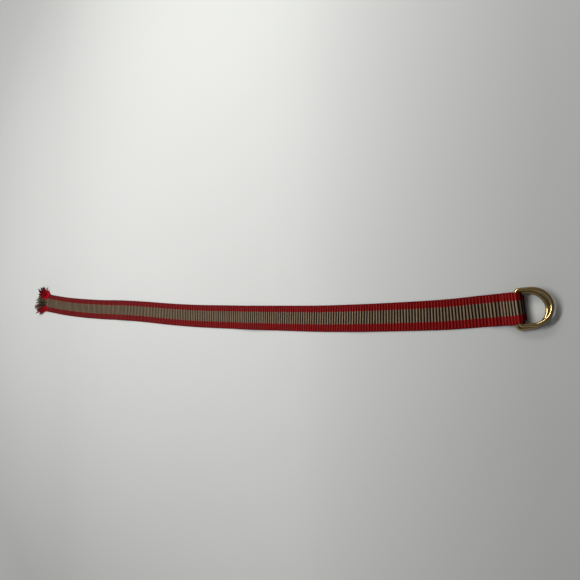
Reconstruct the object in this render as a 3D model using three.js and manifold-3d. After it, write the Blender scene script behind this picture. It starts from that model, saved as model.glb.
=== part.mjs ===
// A belt laid out flat: one long corded strap, folded round two metal D-rings and stitched down,
// with the warp of its raw tail frayed into a fringe.
// Millimetres, +Z up. The belt lies on z = 0 with its rings towards +X and its tail towards -X.

import * as THREE from "three";
import { mergeVertices } from "three/addons/utils/BufferGeometryUtils.js";
import Module from "manifold-3d";

const wasm = await Module();
wasm.setup();

// Strap: a woven band whose thick weft cords stand out as cross ribs.
const STRAP_WIDTH = 50.8;
const CREST_THICKNESS = 2.0;
const GROOVE_THICKNESS = 1.2;
const RIB_PITCH = 5.1;
const CREST_SHARE = 0.5;
const SQUEEZED_WIDTH = 47.0;
const PINCHED_WIDTH = 39.0;
const UNDERSIDE_WIDTH = 43.0;

// Rings: two alike, of round wire, one lying on the other.
const WIRE = 6.2;
const RING_WIDTH = 60.0;
const RING_DEPTH = 50.8;
const RING_CORNER = 3.2;
const WIRE_SIDES = 16;
const RING_GAP = 0.3;
const LOWER_BAR_BACK = 5.8;
const UPPER_RING_SHIFT = -0.3;
const LOWER_RING_SHIFT = -5.4;
const LOWER_RING_TURN = 4.5;
const FLOOR_GAP = 0.02;

// Fold: how the strap goes up and over the upper bar, hangs past it in a slack nose and runs back under itself.
const BAR_GAP = 0.35;
const NOSE_REACH = 9.8;
const NOSE_RADIUS = 4.2;
const PLY_GAP = 0.25;
const FLAP_END = -32.0;
const STEP_START = -48.0;
const LOOP_START = -49.0;
const LOOP_GAP = 0.3;
const STEP_END = -34.0;
const RAMP_START = -26.0;
const RAMP_ROUNDING = 12.0;

// Plan of the belt's centre line, from the raw tail to the upper bar.
const ROUTE = [
  { along: -1241, across: -37.6 },
  { along: -1160, across: -45.6 },
  { along: -1080, across: -49.9 },
  { along: -1000, across: -51.8 },
  { along: -920, across: -51.9 },
  { along: -840, across: -53.9 },
  { along: -760, across: -57.2 },
  { along: -680, across: -59.1 },
  { along: -600, across: -58.9 },
  { along: -520, across: -58.2 },
  { along: -440, across: -56.9 },
  { along: -360, across: -55.2 },
  { along: -280, across: -51.4 },
  { along: -200, across: -46.4 },
  { along: -130, across: -40.9 },
  { along: -74, across: -34.1 },
  { along: -23.3, across: -27.9 },
];

// Where the middle of the belt's box lies in that plan, so that it can be the origin.
const PLAN_MIDDLE = { along: -626.6, across: -37.5 };

// Low waves in which the strap stands off the table, by distance along it from the upper bar.
const WAVES = [
  { fromBar: -1300, lift: 1.2 },
  { fromBar: -1216, lift: 0.8 },
  { fromBar: -1180, lift: 0.0 },
  { fromBar: -935, lift: 0.0 },
  { fromBar: -897, lift: 1.8 },
  { fromBar: -855, lift: 0.0 },
  { fromBar: -560, lift: 0.0 },
  { fromBar: -505, lift: 2.2 },
  { fromBar: -440, lift: 0.0 },
  { fromBar: -300, lift: 0.0 },
  { fromBar: -262, lift: 0.9 },
  { fromBar: -220, lift: 0.0 },
  { fromBar: 200, lift: 0.0 },
];

// The strap's width and sideways shift near the rings, by distance along it from the upper bar's top.
const FOLD = [
  { fromBar: -2000, width: STRAP_WIDTH, shift: 0.0 },
  { fromBar: -7.5, width: STRAP_WIDTH, shift: 0.0 },
  { fromBar: -3.6, width: SQUEEZED_WIDTH, shift: UPPER_RING_SHIFT },
  { fromBar: 7.5, width: SQUEEZED_WIDTH, shift: UPPER_RING_SHIFT },
  { fromBar: 11, width: PINCHED_WIDTH, shift: -0.8 },
  { fromBar: 21, width: PINCHED_WIDTH, shift: -0.8 },
  { fromBar: 29, width: UNDERSIDE_WIDTH, shift: -5.1 },
  { fromBar: 39, width: UNDERSIDE_WIDTH, shift: -5.1 },
  { fromBar: 51, width: STRAP_WIDTH, shift: 0.0 },
  { fromBar: 200, width: STRAP_WIDTH, shift: 0.0 },
];

// Fringe: locks of loose warp, fused to a narrow head against the raw end.
const HEAD_LENGTH = 2.0;
const HEAD_GAP = 0.3;
const HEAD_THICKNESS = 1.4;
const LOCK_SIDES = 7;
const LOCK_SECTIONS = 5;
const LOCK_TIP_SHARE = 0.45;
// at: place across the strap. heading: turn towards +Y. rise: height of the tip's middle.
const LOCKS = [
  { at: 22.5, heading: 78, length: 24, rise: 8, width: 6.0, thick: 3.2 },
  { at: 19.5, heading: 62, length: 32, rise: 14, width: 7.0, thick: 3.6 },
  { at: 16.5, heading: 46, length: 34, rise: 17, width: 7.0, thick: 3.6 },
  { at: 13.0, heading: 33, length: 35, rise: 18, width: 6.5, thick: 3.4 },
  { at: 10.0, heading: 21, length: 30, rise: 12, width: 6.0, thick: 3.2 },
  { at: 6.5, heading: 12, length: 29, rise: 12, width: 6.0, thick: 3.0 },
  { at: 3.0, heading: 6, length: 36, rise: 19, width: 6.0, thick: 3.0 },
  { at: -1.0, heading: 0, length: 38, rise: 20, width: 6.0, thick: 3.0 },
  { at: -5.0, heading: -5, length: 37, rise: 18, width: 6.0, thick: 3.0 },
  { at: -9.5, heading: -15, length: 37, rise: 16, width: 6.0, thick: 3.0 },
  { at: -13.5, heading: -28, length: 37, rise: 12, width: 6.5, thick: 3.4 },
  { at: -18.0, heading: -28, length: 34, rise: 8, width: 7.0, thick: 3.6 },
  { at: -22.0, heading: -30, length: 28, rise: 2.6, width: 6.0, thick: 3.2 },
];

const RED = 0xa5161f;
const RED_DARK = 0x8a1a1c;
const BRASS = 0xb59a5b;

// Sizes that follow from the ones above.
const PLY_RADIUS = WIRE / 2 + BAR_GAP + CREST_THICKNESS / 2;
const PLY_HEIGHT = CREST_THICKNESS / 2;
const LOWER_BAR_HEIGHT = PLY_HEIGHT + PLY_RADIUS;
const ARM_OUT = (RING_WIDTH - WIRE) / 2;
const ARM_END = RING_DEPTH - WIRE - ARM_OUT;
const RING_TILT = Math.asin((LOWER_BAR_HEIGHT - WIRE / 2 - FLOOR_GAP) / (ARM_END + ARM_OUT));
const BAR_RISE =
  (WIRE + RING_GAP - LOWER_BAR_BACK * Math.sin(RING_TILT)) / Math.cos(RING_TILT);
const UPPER_BAR_HEIGHT = LOWER_BAR_HEIGHT + BAR_RISE;
const QUARTER_TURN = Math.PI / 2;

// The value of a table's column at a place, easing from row to row with no overshoot.
function eased(table, key, column, place) {
  if (place <= table[0][key]) return table[0][column];
  for (let i = 1; i < table.length; i++) {
    if (place <= table[i][key]) {
      const share = (place - table[i - 1][key]) / (table[i][key] - table[i - 1][key]);
      return THREE.MathUtils.lerp(
        table[i - 1][column],
        table[i][column],
        THREE.MathUtils.smoothstep(share, 0, 1),
      );
    }
  }
  return table[table.length - 1][column];
}

// A closed body through sections of equally many points. Looped, the last section joins the first.
// Each section's points go counterclockwise as seen from the next one.
function lofted(sections, looped = false) {
  const size = sections[0].length;
  const points = sections.flat();
  const faces = [];
  const joins = looped ? sections.length : sections.length - 1;
  for (let i = 0; i < joins; i++) {
    const here = i * size;
    const next = ((i + 1) % sections.length) * size;
    for (let k = 0; k < size; k++) {
      const after = (k + 1) % size;
      faces.push(here + k, next + after, next + k);
      faces.push(here + k, here + after, next + after);
    }
  }
  if (!looped) {
    const last = (sections.length - 1) * size;
    for (let k = 1; k < size - 1; k++) {
      faces.push(0, k + 1, k);
      faces.push(last, last + k, last + k + 1);
    }
  }
  const geometry = new THREE.BufferGeometry().setFromPoints(points);
  geometry.setIndex(faces);
  return geometry;
}

// A section in the shape of a rectangle, in the order that lofted wants.
function rectangle(middle, sideways, upwards, width, thickness) {
  return [
    [1, 1],
    [-1, 1],
    [-1, -1],
    [1, -1],
  ].map(([side, level]) =>
    middle
      .clone()
      .addScaledVector(sideways, (side * width) / 2)
      .addScaledVector(upwards, (level * thickness) / 2),
  );
}

// Plan of the belt

const route = new THREE.CatmullRomCurve3(
  ROUTE.map(
    (row) =>
      new THREE.Vector3(row.along - PLAN_MIDDLE.along, row.across - PLAN_MIDDLE.across, 0),
  ),
  false,
  "catmullrom",
);
route.arcLengthDivisions = 4000;
const RUN_LENGTH = route.getLength();
const UP = new THREE.Vector3(0, 0, 1);

// The point of the centre line that is so far past the upper bar (less than 0 is towards the tail),
// with the unit vectors along the belt and across it.
function planFrame(pastBar) {
  const share = THREE.MathUtils.clamp(1 + pastBar / RUN_LENGTH, 0, 1);
  const centre = route.getPointAt(share);
  const along = route.getTangentAt(share);
  const beyond = pastBar > 0 ? pastBar : Math.min(0, pastBar + RUN_LENGTH);
  centre.addScaledVector(along, beyond);
  return { centre, along, across: new THREE.Vector3().crossVectors(UP, along) };
}

// Strap

// The middle of the strap's thickness as seen from the side: x is the place past the upper bar, y the height.
function strapSide() {
  const onFlap = PLY_HEIGHT + CREST_THICKNESS + PLY_GAP;
  const stepLength = STEP_END - STEP_START;
  const stepRise = onFlap - PLY_HEIGHT;
  const stepRadius = (stepLength ** 2 + stepRise ** 2) / (4 * stepRise);
  const stepTurn = Math.asin(stepLength / 2 / stepRadius);

  const rounding = new THREE.Vector2(RAMP_START, onFlap + RAMP_ROUNDING);
  const upper = new THREE.Vector2(0, UPPER_BAR_HEIGHT);
  const nose = new THREE.Vector2(
    NOSE_REACH - CREST_THICKNESS / 2 - NOSE_RADIUS,
    PLY_HEIGHT + NOSE_RADIUS,
  );
  const reach = upper.clone().sub(rounding);
  const radii = RAMP_ROUNDING + PLY_RADIUS;
  const ramp = reach.angle() + Math.atan2(radii, Math.sqrt(reach.lengthSq() - radii ** 2));
  const rampAngle = Math.atan2(Math.sin(ramp), Math.cos(ramp));
  const down = nose.clone().sub(upper);
  const slopeFacing =
    Math.atan2(down.y, down.x) + Math.acos((PLY_RADIUS - NOSE_RADIUS) / down.length());

  const side = new THREE.Path();
  side.moveTo(-RUN_LENGTH, PLY_HEIGHT);
  side.lineTo(STEP_START, PLY_HEIGHT);
  side.absarc(
    STEP_START,
    PLY_HEIGHT + stepRadius,
    stepRadius,
    -QUARTER_TURN,
    -QUARTER_TURN + stepTurn,
    false,
  );
  side.absarc(
    STEP_END,
    onFlap - stepRadius,
    stepRadius,
    QUARTER_TURN + stepTurn,
    QUARTER_TURN,
    true,
  );
  side.lineTo(RAMP_START, onFlap);
  side.absarc(
    rounding.x,
    rounding.y,
    RAMP_ROUNDING,
    -QUARTER_TURN,
    -QUARTER_TURN + rampAngle,
    false,
  );
  side.absarc(upper.x, upper.y, PLY_RADIUS, QUARTER_TURN + rampAngle, QUARTER_TURN, true);
  const toBarTop = side.getLength();
  side.absarc(upper.x, upper.y, PLY_RADIUS, QUARTER_TURN, slopeFacing, true);
  side.absarc(nose.x, nose.y, NOSE_RADIUS, slopeFacing, -QUARTER_TURN, true);
  side.lineTo(FLAP_END, PLY_HEIGHT);
  return { side, toBarTop };
}

// The strap in two bodies: the long run, and the loop that rises from its end and holds the rings.
function makeStrap() {
  const { side, toBarTop } = strapSide();
  const length = side.getLength();
  const probe = 0.05;

  const sidePoint = (run) => {
    const point = side.getPoint(THREE.MathUtils.clamp(run / length, 0, 1));
    point.y += eased(WAVES, "fromBar", "lift", run - toBarTop);
    return point;
  };

  const section = (run, thickness) => {
    const here = sidePoint(run);
    const heading = sidePoint(run + probe).sub(sidePoint(run - probe)).normalize();
    const { centre, along, across } = planFrame(here.x);
    const normal = UP.clone().multiplyScalar(heading.x).addScaledVector(along, -heading.y);
    const width = eased(FOLD, "fromBar", "width", run - toBarTop);
    const shift = eased(FOLD, "fromBar", "shift", run - toBarTop);
    const middle = centre.clone().setZ(here.y).addScaledVector(across, shift);
    return rectangle(middle, across, normal, width, thickness);
  };

  const crest = RIB_PITCH * CREST_SHARE;
  const ribbed = (firstRib, lastRib, startGap, endGap) => {
    const sections = [section(firstRib * RIB_PITCH + startGap, GROOVE_THICKNESS)];
    for (let i = firstRib; i < lastRib; i++) {
      const middle = (i + 0.5) * RIB_PITCH;
      const end = i === lastRib - 1 ? endGap : 0;
      sections.push(section(middle - crest / 2, CREST_THICKNESS));
      sections.push(section(middle + crest / 2, CREST_THICKNESS));
      sections.push(section((i + 1) * RIB_PITCH - end, GROOVE_THICKNESS));
    }
    return lofted(sections);
  };

  const ribs = Math.floor(length / RIB_PITCH);
  const runRibs = Math.floor((toBarTop + LOOP_START) / RIB_PITCH);
  return {
    run: ribbed(0, runRibs, 0, LOOP_GAP / 2),
    loop: ribbed(runRibs, ribs, LOOP_GAP / 2, 0),
  };
}

// D-ring: the bar lies on the local Y axis and the round end points along +X.

function makeRing() {
  const stations = [];
  const arc = (x, y, radius, from, to, steps) => {
    for (let i = 0; i <= steps; i++) {
      const angle = THREE.MathUtils.lerp(from, to, i / steps);
      const out = new THREE.Vector3(Math.cos(angle), Math.sin(angle), 0);
      stations.push({ centre: new THREE.Vector3(x, y, 0).addScaledVector(out, radius), out });
    }
  };
  const cornerY = ARM_OUT - RING_CORNER;
  arc(RING_CORNER, -cornerY, RING_CORNER, 2 * QUARTER_TURN, 3 * QUARTER_TURN, 4);
  arc(ARM_END, 0, ARM_OUT, -QUARTER_TURN, QUARTER_TURN, 24);
  arc(RING_CORNER, cornerY, RING_CORNER, QUARTER_TURN, 2 * QUARTER_TURN, 4);

  const sections = stations.map(({ centre, out }) => {
    const section = [];
    for (let k = 0; k < WIRE_SIDES; k++) {
      const angle = (-2 * Math.PI * k) / WIRE_SIDES;
      section.push(
        centre
          .clone()
          .addScaledVector(out, (Math.cos(angle) * WIRE) / 2)
          .addScaledVector(UP, (Math.sin(angle) * WIRE) / 2),
      );
    }
    return section;
  });
  return lofted(sections, true);
}

// Fringe

function solidOf(geometry) {
  const merged = mergeVertices(geometry, 1e-4);
  return new wasm.Manifold(
    new wasm.Mesh({
      numProp: 3,
      vertProperties: merged.getAttribute("position").array,
      triVerts: new Uint32Array(merged.index.array),
    }),
  );
}

function geometryOf(solid) {
  const mesh = solid.getMesh();
  const geometry = new THREE.BufferGeometry();
  geometry.setAttribute("position", new THREE.BufferAttribute(mesh.vertProperties, 3));
  geometry.setIndex(new THREE.BufferAttribute(mesh.triVerts, 1));
  return geometry;
}

// One lock: it leaves the raw end straight, turns to its heading and rises to its tip.
function makeLock(lock, root, out, across) {
  const heading = THREE.MathUtils.degToRad(lock.heading);
  const aim = out
    .clone()
    .multiplyScalar(Math.cos(heading))
    .addScaledVector(across, Math.sin(heading));
  const start = root.clone().addScaledVector(across, lock.at);
  const level = Math.sqrt(lock.length ** 2 - (lock.rise - start.z) ** 2);
  const curve = new THREE.QuadraticBezierCurve3(
    start,
    start.clone().addScaledVector(out, lock.length * 0.35),
    start.clone().addScaledVector(aim, level).setZ(lock.rise),
  );
  const sections = [];
  for (let i = 0; i < LOCK_SECTIONS; i++) {
    const share = i / (LOCK_SECTIONS - 1);
    const centre = curve.getPointAt(share);
    const ahead = curve.getTangentAt(share);
    const sideways = new THREE.Vector3().crossVectors(UP, ahead).normalize();
    const normal = new THREE.Vector3().crossVectors(ahead, sideways);
    const taper = THREE.MathUtils.lerp(1, LOCK_TIP_SHARE, share ** 2);
    const opening = THREE.MathUtils.lerp(0.42, 1, Math.min(1, share * 4));
    const section = [];
    for (let k = 0; k < LOCK_SIDES; k++) {
      const angle = (2 * Math.PI * k) / LOCK_SIDES;
      section.push(
        centre
          .clone()
          .addScaledVector(sideways, (Math.cos(angle) * lock.width * taper) / 2)
          .addScaledVector(normal, (Math.sin(angle) * lock.thick * taper * opening) / 2),
      );
    }
    sections.push(section);
  }
  return lofted(sections);
}

function makeFringe() {
  const tail = planFrame(-RUN_LENGTH - HEAD_GAP);
  const out = tail.along.clone().negate();
  const height = PLY_HEIGHT + eased(WAVES, "fromBar", "lift", -RUN_LENGTH);
  const near = tail.centre.clone().setZ(height);
  const far = near.clone().addScaledVector(out, HEAD_LENGTH);
  const width = STRAP_WIDTH - 0.8;
  const ends = [far, near].map((end) => rectangle(end, tail.across, UP, width, HEAD_THICKNESS));
  let fringe = solidOf(lofted(ends));
  const root = near.clone().addScaledVector(out, HEAD_LENGTH / 2);
  for (const lock of LOCKS) fringe = fringe.add(solidOf(makeLock(lock, root, out, tail.across)));
  return geometryOf(fringe);
}

// Belt

function namedMesh(name, geometry, color, roughness, metalness) {
  geometry.computeVertexNormals();
  const material = new THREE.MeshStandardMaterial({ color, roughness, metalness });
  const mesh = new THREE.Mesh(geometry, material);
  mesh.name = name;
  return mesh;
}

function placedRing(name, back, height, shift, turn) {
  const bar = planFrame(-back);
  const mesh = namedMesh(name, makeRing(), BRASS, 0.25, 1.0);
  const heading = Math.atan2(bar.along.y, bar.along.x) + THREE.MathUtils.degToRad(turn);
  mesh.rotation.set(0, RING_TILT, heading, "ZYX");
  mesh.position.copy(bar.centre).setZ(height).addScaledVector(bar.across, shift);
  return mesh;
}

const belt = new THREE.Group();
const strap = makeStrap();
belt.add(namedMesh("strap", strap.run, RED, 0.85, 0.0));
belt.add(namedMesh("strap_loop", strap.loop, RED, 0.85, 0.0));
belt.add(namedMesh("tail_fringe", makeFringe(), RED_DARK, 0.9, 0.0));
belt.add(placedRing("d_ring_upper", 0, UPPER_BAR_HEIGHT, UPPER_RING_SHIFT, 0));
belt.add(
  placedRing("d_ring_lower", LOWER_BAR_BACK, LOWER_BAR_HEIGHT, LOWER_RING_SHIFT, LOWER_RING_TURN),
);

export default belt;
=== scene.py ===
"""The looks of a D-ring belt that lies flat: a corded, striped strap, two brass rings and a frayed tail.

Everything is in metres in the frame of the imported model: +X runs along the belt from its tail to
its rings, +Y across it and +Z up from the table.
"""

import logging
import math
from dataclasses import dataclass, field
from enum import Enum
from typing import Any, Sequence

import bpy
import numpy as np
from mathutils import Matrix, Vector


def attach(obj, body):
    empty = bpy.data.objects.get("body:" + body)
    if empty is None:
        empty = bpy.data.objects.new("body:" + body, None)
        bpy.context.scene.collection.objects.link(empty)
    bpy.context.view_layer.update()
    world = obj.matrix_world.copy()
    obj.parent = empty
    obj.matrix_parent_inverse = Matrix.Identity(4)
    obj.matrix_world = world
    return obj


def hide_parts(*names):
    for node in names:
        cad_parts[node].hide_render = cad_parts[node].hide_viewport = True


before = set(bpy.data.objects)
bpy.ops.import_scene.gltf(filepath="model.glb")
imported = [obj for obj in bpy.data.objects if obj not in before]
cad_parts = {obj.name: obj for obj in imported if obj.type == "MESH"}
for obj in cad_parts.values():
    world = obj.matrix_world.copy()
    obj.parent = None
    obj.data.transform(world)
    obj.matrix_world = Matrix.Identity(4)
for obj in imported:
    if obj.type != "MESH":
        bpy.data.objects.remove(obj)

Array = np.ndarray
Colour = tuple[float, float, float, float]

log = logging.getLogger("belt")
MM = 0.001
UP = np.array([0.0, 0.0, 1.0])
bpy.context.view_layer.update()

# The room gets dimmer towards +X: where, as the cosine of the angle to +X, and by what share
DIM_FROM_TO = (-0.3, 0.8)
DIM_SHARE = 0.8


# Shader maths


class Wire:
    """A shader value that can be added, multiplied and so on, each time with one Math node."""

    def __init__(self, owner: "NodeTree", socket: bpy.types.NodeSocket) -> None:
        """Keeps the tree that owns the socket.

        Args:
            owner: The tree in which new nodes are made.
            socket: The output that holds the value.
        """
        self.owner = owner
        self.socket = socket

    def _math(self, operation: str, *values: Any) -> "Wire":
        """Adds one Math node on the values and returns its result."""
        return self.owner.node("ShaderNodeMath", {"operation": operation}, list(values)).out(0)

    def __add__(self, other: Any) -> "Wire":
        """Self plus other."""
        return self._math("ADD", self, other)

    def __sub__(self, other: Any) -> "Wire":
        """Self minus other."""
        return self._math("SUBTRACT", self, other)

    def __rsub__(self, other: Any) -> "Wire":
        """Other minus self."""
        return self._math("SUBTRACT", other, self)

    def __mul__(self, other: Any) -> "Wire":
        """Self times other."""
        return self._math("MULTIPLY", self, other)

    __radd__ = __add__
    __rmul__ = __mul__

    def wave(self, length: float) -> "Wire":
        """A sine of this wavelength along self, from -1 to 1."""
        return self._math("SINE", self * (2.0 * math.pi / length))

    def floor(self) -> "Wire":
        """Self rounded down."""
        return self._math("FLOOR", self)

    def power(self, exponent: float) -> "Wire":
        """Self raised to a power."""
        return self._math("POWER", self, exponent)

    def step(self, low: float, high: float) -> "Wire":
        """0 below low, 1 above high and a straight ramp between them."""
        settings = {"clamp": True}
        return self.owner.node("ShaderNodeMapRange", settings, [self, low, high, 0.0, 1.0]).out(0)


class NodeHandle:
    """A node with its outputs as wires."""

    def __init__(self, owner: "NodeTree", made: bpy.types.Node) -> None:
        """Keeps the node and the tree it is in.

        Args:
            owner: The tree that owns the node.
            made: The node.
        """
        self.owner = owner
        self.made = made

    def out(self, which: int | str) -> Wire:
        """The output of this number or name."""
        return Wire(self.owner, self.made.outputs[which])


class NodeTree:
    """A tree of nodes, to which nodes are added."""

    def __init__(self, tree: bpy.types.NodeTree) -> None:
        """Keeps the tree.

        Args:
            tree: The tree of a material or of the world.
        """
        self.tree = tree

    def node(self, kind: str, settings: dict[str, Any], inputs: Any) -> NodeHandle:
        """Adds a node, sets it up and fills its sockets.

        Args:
            kind: The node's type.
            settings: Its properties, set before its sockets are filled.
            inputs: A list in the order of the sockets, or a dict by socket name or number.

        Returns:
            The node.
        """
        made = self.tree.nodes.new(kind)
        for name, value in settings.items():
            setattr(made, name, value)
        pairs = inputs.items() if isinstance(inputs, dict) else enumerate(inputs)
        for which, value in pairs:
            self.fill(made.inputs[which], value)
        return NodeHandle(self, made)

    def fill(self, socket: bpy.types.NodeSocket, value: Any) -> None:
        """Links a wire to the socket, or sets the socket to a constant."""
        if isinstance(value, Wire):
            self.tree.links.new(value.socket, socket)
        else:
            socket.default_value = value


class Shader(NodeTree):
    """A material's node tree with one Principled surface."""

    def __init__(self, name: str) -> None:
        """Starts a material that holds only its surface and its output.

        Args:
            name: The material's name.
        """
        self.material = bpy.data.materials.new(name)
        self.material.use_nodes = True
        super().__init__(self.material.node_tree)
        self.surface = self.tree.nodes["Principled BSDF"]

    def set(self, **values: Any) -> None:
        """Fills the surface's sockets, named with _ for a space."""
        for name, value in values.items():
            self.fill(self.surface.inputs[name.replace("_", " ")], value)

    def mix(self, factor: Any, first: Any, second: Any) -> Wire:
        """A colour that goes from first to second as factor goes from 0 to 1."""
        inputs = {0: factor, 6: first, 7: second}
        return self.node("ShaderNodeMix", {"data_type": "RGBA"}, inputs).out(2)

    def tint(self, colour: Any, shade: Wire) -> Wire:
        """The colour made darker or lighter by the shade, which is 1 for no change."""
        grey = self.vector(shade, shade, shade)
        plain = colour if isinstance(colour, Wire) else colour[:3]
        settings = {"operation": "MULTIPLY"}
        return self.node("ShaderNodeVectorMath", settings, {0: plain, 1: grey}).out(0)

    def plan(self) -> tuple[Wire, Wire]:
        """The piece's own UV map: the distance along it and across or round it, in millimetres."""
        uv = self.node("ShaderNodeTexCoord", {}, []).out("UV")
        parts = self.node("ShaderNodeSeparateXYZ", {}, [uv])
        return parts.out(0) * 1000.0, parts.out(1) * 1000.0

    def place(self) -> Wire:
        """The piece's Object coordinates, in metres."""
        return self.node("ShaderNodeTexCoord", {}, []).out("Object")

    def attribute(self, name: str) -> Wire:
        """The value of a named attribute of the mesh."""
        return self.node("ShaderNodeAttribute", {"attribute_name": name}, []).out("Fac")

    def vector(self, x: Any, y: Any, z: Any = 0.0) -> Wire:
        """Three values as one vector."""
        return self.node("ShaderNodeCombineXYZ", {}, [x, y, z]).out(0)

    def noise(self, vector: Wire, scale: float, detail: float = 2.0) -> Wire:
        """A noise between about 0 and 1 on the vector."""
        inputs = {"Vector": vector, "Scale": scale, "Detail": detail}
        return self.node("ShaderNodeTexNoise", {}, inputs).out(0)

    def bump(self, height: Wire, distance: float, strength: float = 1.0) -> None:
        """Raises the surface by the height, where a height of 1 is the distance in metres."""
        inputs = {"Height": height, "Distance": distance, "Strength": strength}
        self.set(Normal=self.node("ShaderNodeBump", {}, inputs).out("Normal"))


# Finishes


@dataclass(frozen=True)
class Webbing:
    """Corded webbing: fine warp yarns laid over thick weft cords, in a red, olive and red stripe.

    Distances are in millimetres. The borders and the selvedge are measured across the strap, and
    the worn stretch, the stretches of painted light and painted shade and the fold over the upper
    bar along it from the tail.
    """

    red: Colour = (0.330, 0.0185, 0.0190, 1.0)
    red_groove_shade: Colour = (0.112, 0.0006, 0.0010, 1.0)
    red_worn: Colour = (0.236, 0.0320, 0.0345, 1.0)
    olive: Colour = (0.345, 0.250, 0.162, 1.0)
    olive_groove_shade: Colour = (0.0060, 0.0024, 0.0006, 1.0)
    upper_border: float = 12.4
    lower_border: float = -10.8
    border_blur: float = 0.35
    border_wander: float = 1.3
    half_width: float = 25.4
    selvedge: float = 1.8
    selvedge_loss: float = 0.5
    rib_pitch: float = 5.1
    worn_until: tuple[float, float] = (300.0, 1000.0)
    tail_painted_light: float = 0.90
    brighter: tuple[float, float, float] = (100.0, 800.0, 0.21)
    dimmer: tuple[float, float, float] = (850.0, 1100.0, 0.15)
    fold: float = 1226.0
    fold_ramp: tuple[float, float] = (2.5, 5.0)
    fold_painted_shade: float = 0.40

    def make(self) -> bpy.types.Material:
        """Builds the material.

        Returns:
            The material, which reads the UV map in metres and the attribute "crest", from which it
            paints a highlight on the cords' crests and shade in their grooves.
        """
        s = Shader("corded_webbing")
        along, across = s.plan()
        crest = s.attribute("crest")
        rib = (along * (1.0 / self.rib_pitch)).floor()
        wander = (s.noise(s.vector(rib, 0.0), 0.83, 0.0) - 0.5) * self.border_wander
        edge = across + wander
        blur = self.border_blur
        above_lower = edge.step(self.lower_border - blur, self.lower_border + blur)
        below_upper = 1.0 - edge.step(self.upper_border - blur, self.upper_border + blur)
        middle = above_lower * below_upper
        yarn = s.noise(s.vector(along * 0.06, across * 2.4), 1.0, 3.0)
        patch = s.noise(s.vector(along * 0.02, across * 0.05), 1.0, 2.0)
        cord = s.noise(s.vector(rib, 7.0), 0.71, 0.0)
        # Painted light: the colour runs from painted shade in the grooves to a painted highlight on the
        # crests
        bright = crest * (0.62 + cord * 0.76)
        worn = along.step(*self.worn_until)
        red = s.mix(bright, self.red_groove_shade, s.mix(worn, self.red_worn, self.red))
        olive = s.mix(bright, self.olive_groove_shade, self.olive)
        colour = s.mix(middle, red, olive)
        inner = self.half_width - self.selvedge
        at_edge = (across * across).step(inner**2, self.half_width**2)
        # Painted light: brighter over the middle of the strap and dimmer nearer the rings
        start, end, gain = self.brighter
        painted_light_along = self.tail_painted_light + along.step(start, end) * gain
        start, end, loss = self.dimmer
        painted_light_along = painted_light_along - along.step(start, end) * loss
        # Painted shade where the strap turns down past the top of the upper bar, away from the light
        turned = along.step(self.fold + self.fold_ramp[0], self.fold + self.fold_ramp[1])
        painted_light_along = painted_light_along * (1.0 - turned * self.fold_painted_shade)
        shade = (0.66 + yarn * 0.50 + patch * 0.18) * (1.0 - at_edge * self.selvedge_loss) * painted_light_along
        s.set(Base_Color=s.tint(colour, shade), Roughness=0.66 + yarn * 0.25)
        s.set(Specular_IOR_Level=0.04)
        s.bump((yarn - 0.5) * 1.6, 0.00009, 0.8)
        return s.material


@dataclass(frozen=True)
class Yarn:
    """Loose warp yarn: two strands twisted together, with fuzz.

    shaded is the share of light lost among other yarns, and where along the yarn, in millimetres,
    that begins and ends. Past its end the yarn takes on the colour of its tip.
    """

    name: str
    colour: Colour
    tip: Colour
    variation: float = 0.5
    shaded: tuple[float, float, float] = (0.0, 8.0, 20.0)
    spread: float = 0.5
    twist_pitch: float = 1.6

    def make(self) -> bpy.types.Material:
        """Builds the material.

        Returns:
            The material, which reads the UV map in metres, along the yarn and round it, and the
            attribute "lot", which differs from yarn to yarn.
        """
        s = Shader(self.name)
        along, around = s.plan()
        twist = (along + around * 0.9).wave(self.twist_pitch)
        tone = s.noise(s.place(), 260.0, 2.0)
        depth, start, end = self.shaded
        lot = s.attribute("lot")
        # A little over half of the yarns lie under others, each from a place of its own
        begun = (along + lot * start).step(start * 0.75, start * 1.05)
        inside = begun * (1.0 - along.step(end * 0.8, end * 1.2))
        inside = inside * lot.step(0.40, 0.50)
        shade = (1.0 - self.variation * 0.5) + tone * self.variation + twist * 0.12
        shade = shade + (lot - 0.5) * self.spread
        colour = s.mix(along.step(end * 0.8, end * 1.3), self.colour, self.tip)
        s.set(Base_Color=s.tint(colour, shade * (1.0 - inside * depth)), Roughness=0.85)
        s.set(Specular_IOR_Level=0.10)
        s.bump(twist, 0.00010, 0.8)
        return s.material


@dataclass(frozen=True)
class PolishedBrass:
    """Lacquered brass wire, with painted light on the top and bottom of the wire and painted shade on
    its sides, and a little darker in random patches.
    """

    bright: Colour = (0.88, 0.625, 0.245, 1.0)
    painted_side_shade: Colour = (0.050, 0.027, 0.005, 1.0)
    metal_ramp: tuple[float, float] = (0.0, 0.16)
    coat_ramp: tuple[float, float] = (0.10, 0.60)
    coat: float = 0.8
    coat_roughness: float = 0.04

    def make(self) -> bpy.types.Material:
        """Builds the material.

        Returns:
            The material, which reads Object coordinates and the attribute "rubbed".
        """
        s = Shader("polished_brass")
        place = s.place()
        cloud = s.noise(place, 90.0, 3.0).step(0.42, 0.70)
        # Painted light: the attribute read here is 1 where the wire faces up or down and 0 on its sides;
        # the sides get painted shade and less metal, and the coat stays on top and bottom
        painted_face_light = s.attribute("painted_face_light")
        side_shade_and_patches = (1.0 - painted_face_light) * 0.95 + cloud * 0.12
        s.set(Base_Color=s.mix(side_shade_and_patches, self.bright, self.painted_side_shade))
        s.set(Metallic=0.10 + painted_face_light.step(*self.metal_ramp) * 0.90, Roughness=0.11 + cloud * 0.04)
        s.set(Coat_Weight=painted_face_light.step(*self.coat_ramp) * self.coat, Coat_Roughness=self.coat_roughness)
        s.set(Specular_IOR_Level=0.1)
        return s.material


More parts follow.
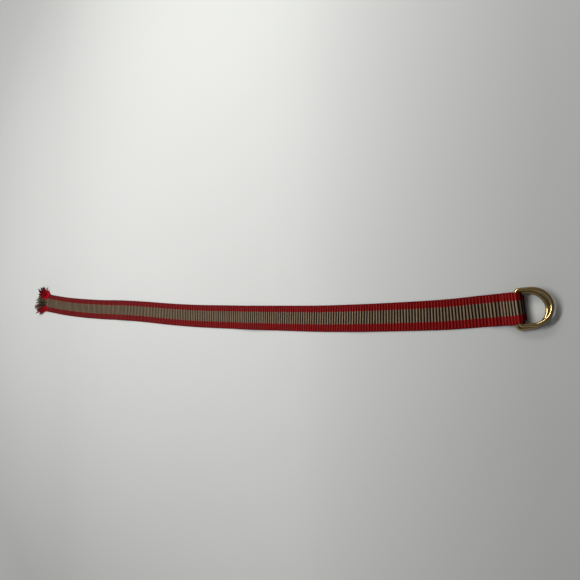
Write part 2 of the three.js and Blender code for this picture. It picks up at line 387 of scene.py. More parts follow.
@dataclass(frozen=True)
class PaleTable:
    """A plain pale matt surface with painted light: a little darker at its ends, and a painted pool
    of light inside the rings.

    Far from the belt it glows with painted light, as bright as the room behind it.
    """

    tone: Colour = (0.635, 0.642, 0.618, 1.0)
    glow_middle: tuple[float, float] = (0.6285, 0.0085)
    glow_reach: float = 0.019
    glow_gain: float = 0.24
    tail_end: tuple[float, float, float] = (-0.55, 0.15, 0.25)
    ring_end: tuple[float, float, float] = (0.22, 0.64, 0.28)
    far_off: tuple[float, float] = (1.1, 2.5)
    room: float = 0.36

    def make(self) -> bpy.types.Material:
        """Builds the material.

        Returns:
            The material, which reads Object coordinates.
        """
        s = Shader("pale_table")
        parts = s.node("ShaderNodeSeparateXYZ", {}, [s.place()])
        x, y = parts.out(0), parts.out(1)
        cloud = s.noise(s.place(), 3.0, 3.0)
        # Painted light: brighter over the middle of the belt and darker towards the rings
        start, end, gain = self.tail_end
        painted_table_light = 1.0 + x.step(start, end) * gain
        start, end, loss = self.ring_end
        painted_table_light = painted_table_light - x.step(start, end) * loss
        # Painted pool of light on the table inside the rings
        dx, dy = x - self.glow_middle[0], y - self.glow_middle[1]
        far = (dx * dx + dy * dy).power(0.5)
        glow = 1.0 - far.step(self.glow_reach * 0.35, self.glow_reach)
        shade = painted_table_light * (0.98 + cloud * 0.04) * (1.0 + glow * self.glow_gain)
        s.set(Base_Color=s.tint(self.tone, shade), Roughness=0.9)
        s.set(Specular_IOR_Level=0.2)
        # Painted light: far from the belt the table glows as bright as the room, dimmer towards +X
        away = (x * x + y * y).power(0.5)
        towards_rings = x * (away + 0.001).power(-1.0)
        light = (1.0 - towards_rings.step(*DIM_FROM_TO) * DIM_SHARE) * self.room
        light = light * away.step(*self.far_off)
        s.set(Emission_Color=s.vector(light, light, light), Emission_Strength=1.0)
        return s.material


# Shapes


def catmull_rom(points: Array, per_span: int) -> Array:
    """A smooth open curve through points.

    Each span between two points is the uniform cubic whose slope at a point is half the way from
    the point before it to the point after it. Past each end lies the mirror of the next point.

    Args:
        points: The points, one a row.
        per_span: How many samples each span gets.

    Returns:
        The samples in order, one a row, with the last point at the end.
    """
    before = 2.0 * points[0] - points[1]
    beyond = 2.0 * points[-1] - points[-2]
    p = np.vstack([before, points, beyond])
    a, b, c, d = p[:-3], p[1:-2], p[2:-1], p[3:]
    t = np.linspace(0.0, 1.0, per_span, endpoint=False)[:, None, None]
    cubic = (2 * a - 5 * b + 4 * c - d) * t**2 + (3 * b - a - 3 * c + d) * t**3
    spans = 0.5 * (2 * b + (c - a) * t + cubic)
    return np.vstack([spans.transpose(1, 0, 2).reshape(-1, points.shape[1]), points[-1]])


def run_of(points: Array) -> Array:
    """The distance along a line of points from its first point to each."""
    steps = np.linalg.norm(np.diff(points, axis=0), axis=1)
    return np.concatenate([[0.0], np.cumsum(steps)])


def eased(rows: Sequence[tuple[float, float]], place: Array) -> Array:
    """The value of a table of (place, value) rows, easing from row to row with no overshoot.

    Between two rows the share x of the way is bent to 3x^2 - 2x^3.
    """
    keys, values = np.array(rows, dtype=float).T
    i = np.clip(np.searchsorted(keys, place) - 1, 0, len(keys) - 2)
    share = np.clip((place - keys[i]) / (keys[i + 1] - keys[i]), 0.0, 1.0)
    return values[i] + (values[i + 1] - values[i]) * share**2 * (3.0 - 2.0 * share)


def unit(vectors: Array) -> Array:
    """The vectors at length 1."""
    return vectors / np.linalg.norm(vectors, axis=-1, keepdims=True)


def grid_faces(rows: int, columns: int, looped: bool, start: int = 0) -> Array:
    """The four-sided faces of a grid whose columns close into a ring.

    Args:
        rows: How many rows of points there are.
        columns: How many points a row has.
        looped: Whether the last row joins the first.
        start: The number of the first point.

    Returns:
        The faces, one a row, facing out where each row runs clockwise as seen from the next.
    """
    i = np.arange(rows if looped else rows - 1)[:, None]
    k = np.arange(columns)[None, :]
    after_row = (i + 1) % rows
    after = (k + 1) % columns
    corners = [i * columns + k, after_row * columns + k, after_row * columns + after]
    corners.append(i * columns + after)
    return start + np.stack(np.broadcast_arrays(*corners), axis=-1).reshape(-1, 4)


@dataclass
class Skin:
    """Points and faces on their way to becoming a mesh, with a place on a flat map for each point."""

    points: Array
    quads: Array
    plan: Array
    caps: list[list[int]] = field(default_factory=list)
    values: dict[str, Array] = field(default_factory=dict)

    def build(self, name: str, material: bpy.types.Material) -> bpy.types.Object:
        """Makes the object.

        Args:
            name: The object's name.
            material: Its one material.

        Returns:
            The object, smooth shaded, at the origin.
        """
        mesh = bpy.data.meshes.new(name)
        faces = self.quads.tolist() + self.caps
        mesh.from_pydata((self.points * MM).tolist(), [], faces)
        mesh.materials.append(material)
        corner_points = np.empty(len(mesh.loops), dtype=np.int32)
        mesh.loops.foreach_get("vertex_index", corner_points)
        layer = mesh.uv_layers.new(name="UVMap")
        layer.data.foreach_set("uv", (self.plan * MM)[corner_points].ravel())
        for label, values in self.values.items():
            attribute = mesh.attributes.new(label, "FLOAT", "POINT")
            attribute.data.foreach_set("value", values.astype(np.float32))
        smooth = np.ones(len(mesh.polygons), dtype=bool)
        smooth[len(self.quads) :] = False
        mesh.polygons.foreach_set("use_smooth", smooth)
        mesh.update()
        mesh.validate()
        made = bpy.data.objects.new(name, mesh)
        bpy.context.scene.collection.objects.link(made)
        return made


def tubes(centres: Array, radii: Array, sides: int) -> Skin:
    """Round tubes of changing radius along lines of points, all of them in one skin.

    A point of a tube is its centre plus radius times (cos a * sideways + sin a * upwards), where
    sideways is level and square to the line, and upwards is square to both.

    Args:
        centres: Tubes by points by 3.
        radii: Tubes by points.
        sides: How many points go round a tube.

    Returns:
        The skin, with the distance along and round each tube as its plan.
    """
    ahead = unit(np.gradient(centres, axis=1))
    sideways = unit(np.cross(UP, ahead))
    upwards = np.cross(ahead, sideways)
    angle = -2.0 * math.pi * np.arange(sides) / sides
    spokes = (
        sideways[:, :, None] * np.cos(angle)[:, None] + upwards[:, :, None] * np.sin(angle)[:, None]
    )
    points = centres[:, :, None] + spokes * radii[:, :, None, None]
    count, rows = centres.shape[:2]
    size = rows * sides
    quads = [grid_faces(rows, sides, False, n * size) for n in range(count)]
    caps: list[list[int]] = []
    for n in range(count):
        caps.append(list(range(n * size, n * size + sides)))
        caps.append(list(range((n + 1) * size - 1, (n + 1) * size - sides - 1, -1)))
    steps = np.linalg.norm(np.diff(centres, axis=1), axis=2)
    run = np.concatenate([np.zeros((count, 1)), np.cumsum(steps, axis=1)], axis=1)
    along = np.repeat(run[:, :, None], sides, axis=2)
    around = np.broadcast_to(-angle, along.shape) * radii[:, :, None]
    plan = np.stack([along, around], axis=-1).reshape(-1, 2)
    return Skin(points.reshape(-1, 3), np.vstack(quads), plan, caps)


# The lie of the belt, as in the part's source but for rings 0.8 mm wider


@dataclass
class Lie:
    """How the belt lies: its centre line in plan and its path up, over and round the ring bars."""

    plan_middle: tuple[float, float] = (-626.6, -37.5)
    route: tuple[tuple[float, float], ...] = (
        (-1241.0, -37.6),
        (-1160.0, -45.6),
        (-1080.0, -49.9),
        (-1000.0, -51.8),
        (-920.0, -51.9),
        (-840.0, -53.9),
        (-760.0, -57.2),
        (-680.0, -59.1),
        (-600.0, -58.9),
        (-520.0, -58.2),
        (-440.0, -56.9),
        (-360.0, -55.2),
        (-280.0, -51.4),
        (-200.0, -46.4),
        (-130.0, -40.9),
        (-74.0, -34.1),
        (-23.3, -27.9),
    )
    waves: tuple[tuple[float, float], ...] = (
        (-1300.0, 1.2),
        (-1216.0, 0.8),
        (-1180.0, 0.0),
        (-935.0, 0.0),
        (-897.0, 1.8),
        (-855.0, 0.0),
        (-560.0, 0.0),
        (-505.0, 2.2),
        (-440.0, 0.0),
        (-300.0, 0.0),
        (-262.0, 0.9),
        (-220.0, 0.0),
        (200.0, 0.0),
    )
    crest: float = 2.0
    wire: float = 6.2
    bar_gap: float = 0.35
    ply_gap: float = 0.25
    ring_gap: float = 0.3
    floor_gap: float = 0.02
    ring_width: float = 60.8
    ring_depth: float = 50.8
    lower_bar_back: float = 5.8
    nose_reach: float = 9.8
    nose_radius: float = 4.2
    flap_end: float = -32.0
    step_start: float = -48.0
    step_end: float = -34.0
    ramp_start: float = -26.0
    ramp_rounding: float = 12.0

    def __post_init__(self) -> None:
        """Works out the lines once, in millimetres."""
        points = np.array(self.route) - np.array(self.plan_middle)
        self.line = catmull_rom(points, 400)
        self.line_run = run_of(self.line)
        self.run_length = float(self.line_run[-1])
        self.ply_radius = self.wire / 2 + self.bar_gap + self.crest / 2
        self.ply_height = self.crest / 2
        self.lower_bar_height = self.ply_height + self.ply_radius
        self.arm_out = (self.ring_width - self.wire) / 2
        self.arm_end = self.ring_depth - self.wire - self.arm_out
        drop = self.lower_bar_height - self.wire / 2 - self.floor_gap
        self.ring_tilt = math.asin(drop / (self.arm_end + self.arm_out))
        apart = self.wire + self.ring_gap - self.lower_bar_back * math.sin(self.ring_tilt)
        self.upper_bar_height = self.lower_bar_height + apart / math.cos(self.ring_tilt)
        self._side()

    def _side(self) -> None:
        """Lays the side view's lines and arcs end to end: x past the upper bar, height, heading."""
        on_flap = self.ply_height + self.crest + self.ply_gap
        step = self.step_end - self.step_start
        rise = on_flap - self.ply_height
        step_radius = (step**2 + rise**2) / (4.0 * rise)
        turn = math.asin(step / 2.0 / step_radius)
        low = np.array([self.ramp_start, on_flap + self.ramp_rounding])
        upper = np.array([0.0, self.upper_bar_height])
        nose_past = self.nose_reach - self.crest / 2 - self.nose_radius
        nose = np.array([nose_past, self.ply_height + self.nose_radius])
        reach = upper - low
        radii = self.ramp_rounding + self.ply_radius
        straight = math.sqrt(float(reach @ reach) - radii**2)
        ramp = math.atan2(reach[1], reach[0]) + math.atan2(radii, straight)
        down = nose - upper
        slack = math.acos((self.ply_radius - self.nose_radius) / math.hypot(*down))
        quarter = math.pi / 2.0
        fall = math.atan2(down[1], down[0]) + slack - quarter
        arcs = (
            ((self.step_start, self.ply_height + step_radius), step_radius, 0.0, turn),
            ((self.step_end, on_flap - step_radius), -step_radius, turn, 0.0),
            (tuple(low), self.ramp_rounding, 0.0, ramp),
            (tuple(upper), -self.ply_radius, ramp, 0.0),
        )
        round_bars = (
            (tuple(upper), -self.ply_radius, 0.0, fall),
            (tuple(nose), -self.nose_radius, fall, -2.0 * quarter),
        )
        first = self._arcs(arcs)
        second = self._arcs(round_bars)
        start = np.array([[-self.run_length, self.ply_height]])
        to_top = run_of(np.vstack([start, first]))[-1]
        end = np.array([[self.flap_end, self.ply_height]])
        self.side = np.vstack([start, first, second, end])
        self.side_run = run_of(self.side)
        self.to_bar_top = float(to_top)
        self.length = float(self.side_run[-1])

    @staticmethod
    def _arcs(arcs: Sequence[tuple[tuple[float, float], float, float, float]]) -> Array:
        """Points along arcs given as centre, radius (positive to the left) and headings."""
        rows = []
        for centre, radius, start, end in arcs:
            heading = np.linspace(start, end, 60)
            out = np.stack([np.sin(heading), -np.cos(heading)], axis=1)
            rows.append(np.array(centre) + radius * out)
        return np.vstack(rows)

    def side_at(self, run: Array) -> Array:
        """The place past the upper bar and the height, at a distance along the strap."""
        run = np.clip(run, 0.0, self.length)
        x = np.interp(run, self.side_run, self.side[:, 0])
        z = np.interp(run, self.side_run, self.side[:, 1])
        z = z + eased(self.waves, run - self.to_bar_top)
        return np.stack([x, z], axis=-1)

    def plan_at(self, past_bar: Array) -> tuple[Array, Array]:
        """The centre line's points and headings in plan, at distances past the upper bar."""
        place = past_bar + self.run_length
        on_line = np.clip(place, 0.0, self.run_length)
        step = 0.5
        points = self._line(on_line)
        ahead = self._line(np.clip(on_line + step, 0.0, self.run_length))
        behind = self._line(np.clip(on_line - step, 0.0, self.run_length))
        along = unit(ahead - behind)
        return points + along * (place - on_line)[..., None], along

    def _line(self, run: Array) -> Array:
        """The centre line's points at distances along it."""
        columns = [np.interp(run, self.line_run, self.line[:, i]) for i in range(2)]
        return np.stack(columns, axis=-1)


# Sub-assemblies


@dataclass
class Strap:
    """The corded strap with its loop and its turned-under end.

    Over the upper bar it is up to 0.8 mm wider than in the part's source, and between the rings'
    arms it sits 0.5 to 0.7 mm further towards +Y.
    """

    lie: Lie
    width: float = 50.8
    rib_pitch: float = 5.1
    crest: float = 2.1
    groove: float = 1.0
    edge_bulge: float = 0.45
    rib_stations: int = 8
    across_points: int = 11
    edge_points: int = 5
    askew: float = 0.7
    seed: int = 3
    plumpness: tuple[float, float] = (0.88, 1.08)
    rib_power: float = 2.2
    light_power: float = 2.7
    stitch_pitch: float = 3.4
    stitch_length: float = 2.7
    stitch_lift: float = 0.42
    stitch_sink: float = 0.12
    seam_margin: float = 2.5
    thread_radius: float = 0.26
    thread_swell: float = 0.10
    widths: tuple[tuple[float, float], ...] = (
        (-2000.0, 50.8),
        (-8.0, 50.8),
        (-4.2, 47.8),
        (7.5, 47.6),
        (11.0, 39.0),
        (21.0, 39.0),
        (29.0, 43.0),
        (39.0, 43.0),
        (51.0, 50.8),
        (200.0, 50.8),
    )
    shifts: tuple[tuple[float, float], ...] = (
        (-2000.0, 0.0),
        (-8.0, 0.0),
        (-4.2, 0.4),
        (7.5, 0.4),
        (11.0, -0.3),
        (21.0, -0.3),
        (29.0, -4.5),
        (39.0, -4.5),
        (51.0, 0.0),
        (200.0, 0.0),
    )
    skews: tuple[tuple[float, float], ...] = (
        (-1230.0, -3.0),
        (-1130.0, -2.0),
        (-1000.0, 0.0),
        (-900.0, -4.0),
        (-760.0, -5.0),
        (-690.0, 0.0),
        (-380.0, 2.5),
        (-260.0, 4.0),
        (-170.0, 3.0),
        (-90.0, 2.0),
        (-30.0, 1.0),
        (-12.0, 0.0),
        (200.0, 0.0),
    )
    calm: tuple[tuple[float, float], ...] = (
        (-2000.0, 1.0),
        (-14.0, 1.0),
        (-6.0, 0.15),
        (200.0, 0.15),
    )
    seam: float = -25.5

    def _section(self) -> tuple[Array, Array]:
        """The outline of a cut across: places from -1 to 1 across and from -1 to 1 in thickness.

        The top runs from one side to the other, a half circle goes round the edge, the bottom
        runs back, and another half circle closes it. Points lie closer together near the edges.
        """
        across = np.sin(np.linspace(-1.0, 1.0, self.across_points) * math.pi / 2 * 0.985)
        turn = np.linspace(0.0, math.pi, self.edge_points + 2)[1:-1]
        edge = self.crest / 2 / (self.width / 2)
        inner = 1.0 - edge
        a = np.concatenate(
            [
                across * inner,
                inner + edge * np.sin(turn),
                -across * inner,
                -inner - edge * np.sin(turn),
            ]
        )
        b = np.concatenate(
            [
                np.ones_like(across),
                np.cos(turn),
                -np.ones_like(across),
                -np.cos(turn),
            ]
        )
        return a, b

    def _surface(self) -> Skin:
        """The whole strap as one closed skin.

        At run s the relief is r = 1 - |2p - 1|^rib_power, where p is the share of the pitch that
        has passed. The thickness is groove + (crest - groove) * r. The middle of the thickness
        follows the side view, carried sideways along the plan's centre line. A cord that lies
        askew by an angle k has its point at c across moved by c * tan k along the strap.
        """
        lie = self.lie
        dice = np.random.default_rng(self.seed)
        ribs = int(lie.length // self.rib_pitch)
        share = np.linspace(0.0, 1.0, self.rib_stations, endpoint=False)
        run = ((np.arange(ribs)[:, None] + share[None, :]) * self.rib_pitch).ravel()
        run = np.append(run, ribs * self.rib_pitch)
        phase = np.append(np.tile(share, ribs), 0.0)
        relief = 1.0 - np.abs(2.0 * phase - 1.0) ** self.rib_power
        # Painted light for the attribute "crest": 1 on a cord's crest and 0 in its groove, for a painted
        # highlight and painted shade
        light = (0.5 - 0.5 * np.cos(2.0 * math.pi * phase)) ** self.light_power
        a, b = self._section()

        knots = np.arange(ribs + 1) * self.rib_pitch
        jitter = np.interp(run, knots, dice.normal(0.0, self.askew, ribs + 1))
        plump = np.interp(run, knots, dice.uniform(*self.plumpness, ribs + 1))
        from_bar = run - lie.to_bar_top
        askew = np.radians(eased(self.skews, from_bar) + jitter * eased(self.calm, from_bar))
        thick = self.groove + (self.crest - self.groove) * relief * plump
        across = a[None, :] * eased(self.widths, from_bar)[:, None] / 2
        across = across + np.sign(a) * (self.edge_bulge * (relief - 0.6))[:, None]
        place = np.clip(run[:, None] + across * np.tan(askew)[:, None], 0.0, lie.length)
        here = lie.side_at(place)
        probe = 0.4
        heading = unit(lie.side_at(place + probe) - lie.side_at(place - probe))
        centre, along = lie.plan_at(here[..., 0])
        along = np.concatenate([along, np.zeros_like(along[..., :1])], axis=-1)
        sideways = np.cross(UP, along)
        normal = UP * heading[..., :1] - along * heading[..., 1:]
        middle = np.concatenate([centre, here[..., 1:]], axis=-1)
        shift = eased(self.shifts, from_bar)[:, None]
        points = (
            middle
            + sideways * (across + shift)[..., None]
            + normal * (b[None, :] * thick[:, None] / 2)[..., None]
        )
        rows, columns = len(run), len(a)
        plan = np.stack(np.broadcast_arrays(run[:, None], a[None, :] * self.width / 2), axis=-1)
        crest = np.broadcast_to(light[:, None], (rows, columns))
        caps = [list(range(columns)), list(range(rows * columns - 1, (rows - 1) * columns - 1, -1))]
        return Skin(
            points.reshape(-1, 3),
            grid_faces(rows, columns, False),
            plan.reshape(-1, 2),
            caps,
            {"crest": crest.ravel()},
        )

    def _stitches(self) -> Skin:
        """The seam that closes the loop: a row of short thread humps across the upper ply.

        Each hump is a tube whose height over the cloth follows a half sine.
        """
        lie = self.lie
        groove = round((lie.to_bar_top + self.seam) / self.rib_pitch) * self.rib_pitch
        pitch, length = self.stitch_pitch, self.stitch_length
        count = int((self.width - 2.0 * self.seam_margin) / pitch)
        starts = (np.arange(count) - (count - 1) / 2.0) * pitch - length / 2
        t = np.linspace(0.0, 1.0, 7)
        side = lie.side_at(np.array([groove]))
        centre, along = lie.plan_at(side[:, 0])
        along3 = np.append(along[0], 0.0)
        sideways = np.cross(UP, along3)
        base = np.append(centre[0], side[0, 1] + self.groove / 2)
        across = starts[:, None] + t[None, :] * length
        hump = np.sin(t * math.pi)
        lift = hump * self.stitch_lift - self.stitch_sink
        centres = (
            base + sideways * across[..., None] + UP * np.broadcast_to(lift, across.shape)[..., None]
        )
        radii = np.broadcast_to(self.thread_radius + self.thread_swell * hump, across.shape)
        return tubes(centres, radii, 8)

    def build(self, cloth: bpy.types.Material, thread: bpy.types.Material) -> None:
        """Makes the strap and its seam and puts them in place of the CAD strap.

        Args:
            cloth: The webbing's material.
            thread: The seam's material.
        """
        strap = self._surface().build("woven_strap", cloth)
        seam = self._stitches().build("loop_seam", thread)
        for piece in (strap, seam):
            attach(piece, "belt")
        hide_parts("strap", "strap_loop")


class RingPlace(Enum):
    """Which of the two rings, with the CAD node and body of each."""

    UPPER = "upper"
    LOWER = "lower"


@dataclass
class Ring:
    """One D-ring of round wire, 0.6 to 0.7 mm further towards +Y than in the part's source."""

    lie: Lie
    which: RingPlace
    corner: float = 3.2
    upper_shift: float = 0.4
    lower_shift: float = -4.8
    lower_turn: float = 4.5
    wire_sides: int = 36
    bend_points: int = 72
    corner_points: int = 10
    face_light_power: float = 2.8

    def _path(self) -> tuple[Array, Array]:
        """The wire's centre line in the ring's plane, and the way out from it at each point.

        A corner, a half circle, another corner and the straight bar, as arcs joined by lines.
        """
        lie = self.lie
        corner_y = lie.arm_out - self.corner
        quarter = math.pi / 2
        pieces = (
            (self.corner, -corner_y, self.corner, 2 * quarter, 3 * quarter, self.corner_points),
            (lie.arm_end, 0.0, lie.arm_out, -quarter, quarter, self.bend_points),
            (self.corner, corner_y, self.corner, quarter, 2 * quarter, self.corner_points),
        )
        centres, outs = [], []
        for x, y, radius, start, end, steps in pieces:
            angle = np.linspace(start, end, steps + 1)
            out = np.stack([np.cos(angle), np.sin(angle), np.zeros_like(angle)], axis=1)
            centres.append(np.array([x, y, 0.0]) + out * radius)
            outs.append(out)
        return np.vstack(centres), np.vstack(outs)

    def _surface(self) -> Skin:
        """The wire's skin: centre + radius * (cos a * out + sin a * up), set in the ring's place."""
        lie = self.lie
        centres, outs = self._path()
        angle = 2.0 * math.pi * np.arange(self.wire_sides) / self.wire_sides
        spokes = outs[:, None] * np.cos(angle)[:, None] + UP * np.sin(angle)[:, None]
        local = centres[:, None] + spokes * (lie.wire / 2)
        upper = self.which is RingPlace.UPPER
        back = 0.0 if upper else lie.lower_bar_back
        height = lie.upper_bar_height if upper else lie.lower_bar_height
        shift = self.upper_shift if upper else self.lower_shift
        centre, along = lie.plan_at(np.array([-back]))
        ahead = np.append(along[0], 0.0)
        sideways = np.cross(UP, ahead)
        bar = np.append(centre[0], height) + sideways * shift
        turn = math.radians(0.0 if upper else self.lower_turn)
        ahead = ahead * math.cos(turn) + sideways * math.sin(turn)
        sideways = np.cross(UP, ahead)
        cos, sin = math.cos(lie.ring_tilt), math.sin(lie.ring_tilt)
        axes = np.stack([ahead * cos - UP * sin, sideways, UP * cos + ahead * sin])
        points = local.reshape(-1, 3) @ axes + bar
        rows = len(centres)
        run = run_of(centres)
        plan = np.stack(
            np.broadcast_arrays(run[:, None], (angle * lie.wire / 2)[None, :]), axis=-1
        ).reshape(-1, 2)
        quads = grid_faces(rows, self.wire_sides, True)
        # Painted light: 1 where the wire faces up or down and 0 on its sides, for painted shade on the
        # sides
        painted_face_light = np.broadcast_to(np.abs(np.sin(angle)) ** self.face_light_power, (rows, self.wire_sides))
        return Skin(points, quads, plan=plan, values={"painted_face_light": painted_face_light.ravel()})

    def build(self, brass: bpy.types.Material) -> None:
        """Makes the ring in place of its CAD node.

        Args:
            brass: The ring's material.
        """
        name = self.which.value
        ring = self._surface().build(f"{name}_ring_wire", brass)
        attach(ring, f"{name}_ring")
        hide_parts(f"d_ring_{name}")


@dataclass(frozen=True)
class Lock:
    """One tuft of the fringe: where it leaves the strap, and where it goes."""

    at: float
    back: float
    heading: float
    length: float
    rise: float
    width: float
    yarn: str
    straight: float = 0.35


@dataclass
class Fringe:
    """The raw tail: warp yarns that have come free of their cords, in loose tufts."""

    lie: Lie
    clumps_per_lock: int = 5
    yarns_per_clump: int = 8
    yarn_radius: float = 0.56
    sections: int = 13
    sides: int = 6
    crimp: float = 0.30
    crimp_length: float = 9.0
    crimp_growth: float = 4.0
    crimp_starts: tuple[float, float] = (0.0, 6.28)
    stack: float = 1.2
    rooted: tuple[float, float] = (0.2, 3.0)
    gathering: float = 0.60
    fan: float = 8.0
    clump_stray: float = 4.0
    yarn_stray: float = 1.9
    clump_reach: tuple[float, float] = (0.72, 1.15)
    yarn_reach: tuple[float, float] = (0.90, 1.04)
    least_reach: float = 4.0
    clump_rise: tuple[float, float] = (0.65, 1.18)
    yarn_rise: tuple[float, float] = (0.90, 1.07)
    rise_limits: tuple[float, float] = (1.0, 24.0)
    thickness: tuple[float, float] = (0.8, 1.15)
    taper: float = 0.30
    over_table: float = 0.05
    seed: int = 7
    locks: tuple[Lock, ...] = (
        Lock(23.6, 10.0, 44.0, 20.0, 6.0, 3.0, "red", 0.15),
        Lock(21.4, 5.0, 54.0, 26.0, 9.0, 4.0, "red", 0.18),
        Lock(19.0, 1.0, 62.0, 29.0, 13.0, 5.0, "red", 0.20),
        Lock(16.5, 0.0, 58.0, 33.0, 16.0, 5.5, "red", 0.25),
        Lock(13.5, 0.0, 50.0, 37.0, 17.0, 5.0, "red"),
        Lock(10.8, 0.0, 37.0, 33.0, 15.0, 5.0, "red"),
        Lock(8.8, 0.0, 25.0, 30.0, 14.0, 4.0, "red"),
        Lock(6.5, 0.0, 9.0, 34.0, 18.0, 4.5, "olive"),
        Lock(3.0, 0.0, 1.0, 38.0, 19.0, 5.0, "olive"),
        Lock(-1.0, 0.0, -7.0, 38.0, 18.0, 5.0, "olive"),
        Lock(-5.0, 0.0, -14.0, 41.0, 17.0, 5.0, "olive"),
        Lock(-9.5, 0.0, -15.0, 37.0, 12.0, 5.0, "deep_red"),
        Lock(-13.5, 0.0, -18.0, 40.0, 12.0, 5.5, "deep_red"),
        Lock(-18.0, 0.0, -20.0, 41.0, 9.5, 5.5, "deep_red"),
        Lock(-22.0, 0.0, -21.0, 37.0, 5.5, 4.5, "deep_red"),
    )

    def _tuft(self, lock: Lock, dice: np.random.Generator) -> tuple[Array, Array]:
        """The centre lines and radii of one tuft's yarns.

        A yarn is a quadratic curve from the tail: P(t) = (1-t)^2 A + 2t(1-t) B + t^2 C, with A on
        the strap, B straight out from it and C at the tip, plus a sine for its crimp. The yarns of
        a clump share one tip, heading and length, but for a little chance.

        Args:
            lock: The tuft.
            dice: The source of chance.

        Returns:
            The lines, yarns by points by 3, and the radii, yarns by points.
        """
        lie = self.lie
        clumps, each = self.clumps_per_lock, self.yarns_per_clump
        count = clumps * each

        def shared(values: Array) -> Array:
            """The values of the clumps, one for each yarn."""
            return np.repeat(values, each)

        centre, along = lie.plan_at(np.array([lock.back - lie.run_length]))
        along3 = np.append(along[0], 0.0)
        out = -along3
        sideways = np.cross(UP, along3)
        lift = lie.side_at(np.array([lock.back]))[0, 1]
        spread = np.linspace(-0.5, 0.5, count)
        level = dice.uniform(-0.5, 0.5, count)
        a = np.append(centre[0], lift) + sideways * (lock.at + spread * lock.width)[:, None]
        a = a + UP * (level * self.stack)[:, None]
        a = a - out * dice.uniform(*self.rooted, count)[:, None]
        even = np.linspace(-self.fan, self.fan, clumps)
        fan = shared(even + dice.normal(0.0, self.clump_stray, clumps))
        turn = np.radians(lock.heading + fan + dice.normal(0.0, self.yarn_stray, count))
        aim = out * np.cos(turn)[:, None] + sideways * np.sin(turn)[:, None]
        reach = shared(dice.uniform(*self.clump_reach, clumps))
        length = lock.length * (reach * dice.uniform(*self.yarn_reach, count))
        high = shared(dice.uniform(*self.clump_rise, clumps))
        high = high * dice.uniform(*self.yarn_rise, count)
        rise = np.clip(lock.rise * high, *self.rise_limits)
        flat = np.sqrt(np.maximum(length**2 - (rise - lift) ** 2, self.least_reach**2))
        middle = np.append(centre[0], lift) + sideways * lock.at
        gathered = middle + (a - middle) * self.gathering
        b = a + out * (length * lock.straight)[:, None]
        c = gathered + aim * flat[:, None]
        c[:, 2] = rise
        t = np.linspace(0.0, 1.0, self.sections)[None, :, None]
        a, b, c = a[:, None], b[:, None], c[:, None]
        line = (1 - t) ** 2 * a + 2 * t * (1 - t) * b + t**2 * c
        wave = 2.0 * math.pi * length[:, None] / self.crimp_length * t[..., 0]
        wave = wave + dice.uniform(*self.crimp_starts, count)[:, None]
        grown = np.minimum(t[..., 0] * self.crimp_growth, 1.0)
        line = line + UP * (np.sin(wave) * grown * self.crimp)[..., None]
        line = line + sideways * (np.cos(wave * 0.8) * grown * self.crimp)[..., None]
        radius = self.yarn_radius * dice.uniform(*self.thickness, count)[:, None]
        radii = radius * (1.0 - self.taper * t[..., 0] ** 3)
        line[..., 2] = np.maximum(line[..., 2], radii + self.over_table)
        return line, radii

    def build(self, finishes: dict[str, bpy.types.Material]) -> None:
        """Makes the yarns, one piece for each colour, in place of the CAD fringe.

        Args:
            finishes: The yarn materials by colour name.
        """
        dice = np.random.default_rng(self.seed)
        by_colour: dict[str, list[tuple[Array, Array]]] = {}
        for lock in self.locks:
            by_colour.setdefault(lock.yarn, []).append(self._tuft(lock, dice))
        for colour, tufts in by_colour.items():
            lines = np.concatenate([line for line, _ in tufts])
            radii = np.concatenate([radius for _, radius in tufts])
            skin = tubes(lines, radii, self.sides)
            lots = dice.uniform(0.0, 1.0, len(lines))
            skin.values["lot"] = np.repeat(lots, self.sections * self.sides)
            piece = skin.build(f"fringe_{colour}", finishes[colour])
            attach(piece, "belt")
            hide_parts("tail_fringe")


# Studio


@dataclass(frozen=True)
class Lamp:
    """An oblong soft light: its place and what it points at, in metres, its two sides and its power."""

    name: str
    place: tuple[float, float, float]
    aim: tuple[float, float, float]
    size: tuple[float, float]
    power: float

    def make(self) -> None:
        """Adds the lamp to the scene."""
        light = bpy.data.lights.new(self.name, "AREA")
        light.shape = "RECTANGLE"
        light.size, light.size_y = self.size
        light.energy = self.power
        lamp = bpy.data.objects.new(self.name, light)
        place = Vector(self.place)
        lamp.location = place
        lamp.rotation_euler = (Vector(self.aim) - place).to_track_quat("-Z", "Y").to_euler()
        bpy.context.scene.collection.objects.link(lamp)


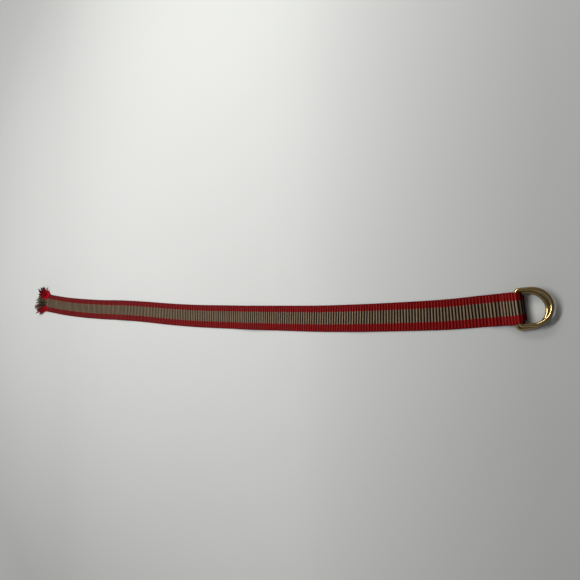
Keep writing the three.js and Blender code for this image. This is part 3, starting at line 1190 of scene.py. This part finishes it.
@dataclass
class Studio:
    """The table, the light and the camera."""

    eye: tuple[float, float, float] = (0.6266, 0.0375, 0.762)
    target: tuple[float, float, float] = (0.1968, 0.0375, 0.0)
    lens: float = 27.06
    sensor: float = 36.0
    clip: tuple[float, float] = (0.01, 20.0)
    tint: Colour = (0.97, 0.97, 1.0, 1.0)
    walls: float = 0.50
    ceiling: float = 0.095
    wall_span: tuple[float, float] = (0.1, 0.95)
    table_half: float = 9.0
    lamps: tuple[Lamp, ...] = (
        Lamp("window", (-0.68, 0.35, 1.36), (0.0, 0.0, 0.0), (1.3, 0.16), 18.9),
        Lamp("far_window", (0.0, 1.15, 0.80), (0.6, 0.0, 0.0), (0.7, 0.30), 4.6),
    )

    def _table(self) -> None:
        """Makes the table top."""
        mesh = bpy.data.meshes.new("table")
        half = self.table_half
        corners = [(-half, -half, 0), (half, -half, 0), (half, half, 0), (-half, half, 0)]
        mesh.from_pydata(corners, [], [(0, 1, 2, 3)])
        mesh.materials.append(PaleTable().make())
        table = bpy.data.objects.new("table", mesh)
        bpy.context.scene.collection.objects.link(table)

    def _room(self) -> None:
        """Makes the room's light: walls brighter than the ceiling, and dim beyond the rings."""
        world = bpy.data.worlds.new("room")
        world.use_nodes = True
        room = NodeTree(world.node_tree)
        background = room.tree.nodes["Background"]
        background.inputs["Color"].default_value = self.tint
        towards = room.node("ShaderNodeTexCoord", {}, []).out("Generated")
        parts = room.node("ShaderNodeSeparateXYZ", {}, [towards])
        height = parts.out(2).step(*self.wall_span)
        beyond_rings = parts.out(0).step(*DIM_FROM_TO)
        light = self.walls - height * (self.walls - self.ceiling)
        room.fill(background.inputs["Strength"], light * (1.0 - beyond_rings * DIM_SHARE))
        bpy.context.scene.world = world

    def build(self) -> None:
        """Makes the table, the lights and the camera."""
        scene = bpy.context.scene
        scene.view_settings.view_transform = "Standard"
        self._room()
        self._table()
        for lamp in self.lamps:
            lamp.make()
        eye, target = Vector(self.eye), Vector(self.target)
        ahead = (target - eye).normalized()
        up = Vector((0.0, 1.0, 0.0))
        right = ahead.cross(up)
        lens = bpy.data.cameras.new("camera")
        lens.lens = self.lens
        lens.sensor_width = self.sensor
        lens.clip_start, lens.clip_end = self.clip
        camera = bpy.data.objects.new("camera", lens)
        camera.location = eye
        camera.rotation_euler = Matrix((right, up, -ahead)).transposed().to_euler()
        scene.collection.objects.link(camera)
        scene.camera = camera


def main() -> None:
    """Builds the belt and its surroundings in order."""
    logging.basicConfig(level=logging.INFO, format="%(name)s: %(message)s")
    lie = Lie()
    Studio().build()
    log.info("studio ready")
    red = Yarn(
        "red_yarn",
        colour=(0.40, 0.004, 0.011, 1.0),
        tip=(0.045, 0.007, 0.008, 1.0),
        variation=0.8,
        shaded=(0.0, 8.0, 22.0),
    )
    olive = Yarn(
        "olive_yarn",
        colour=(0.20, 0.160, 0.090, 1.0),
        tip=(0.26, 0.235, 0.20, 1.0),
        variation=0.9,
        shaded=(0.85, 14.0, 27.0),
    )
    deep = Yarn(
        "deep_red_yarn",
        colour=(0.26, 0.003, 0.008, 1.0),
        tip=(0.22, 0.008, 0.012, 1.0),
        variation=0.8,
    )
    thread = Yarn(
        "seam_thread",
        colour=(0.19, 0.060, 0.050, 1.0),
        tip=(0.19, 0.060, 0.050, 1.0),
        variation=0.3,
        spread=0.0,
    )
    Strap(lie).build(Webbing(fold=lie.to_bar_top).make(), thread.make())
    log.info("strap %.0f mm long", lie.length)
    brass = PolishedBrass().make()
    for which in RingPlace:
        Ring(lie, which).build(brass)
        log.info("%s ring", which.value)
    Fringe(lie).build({"red": red.make(), "deep_red": deep.make(), "olive": olive.make()})
    log.info("fringe")


if __name__ == "__main__":
    main()
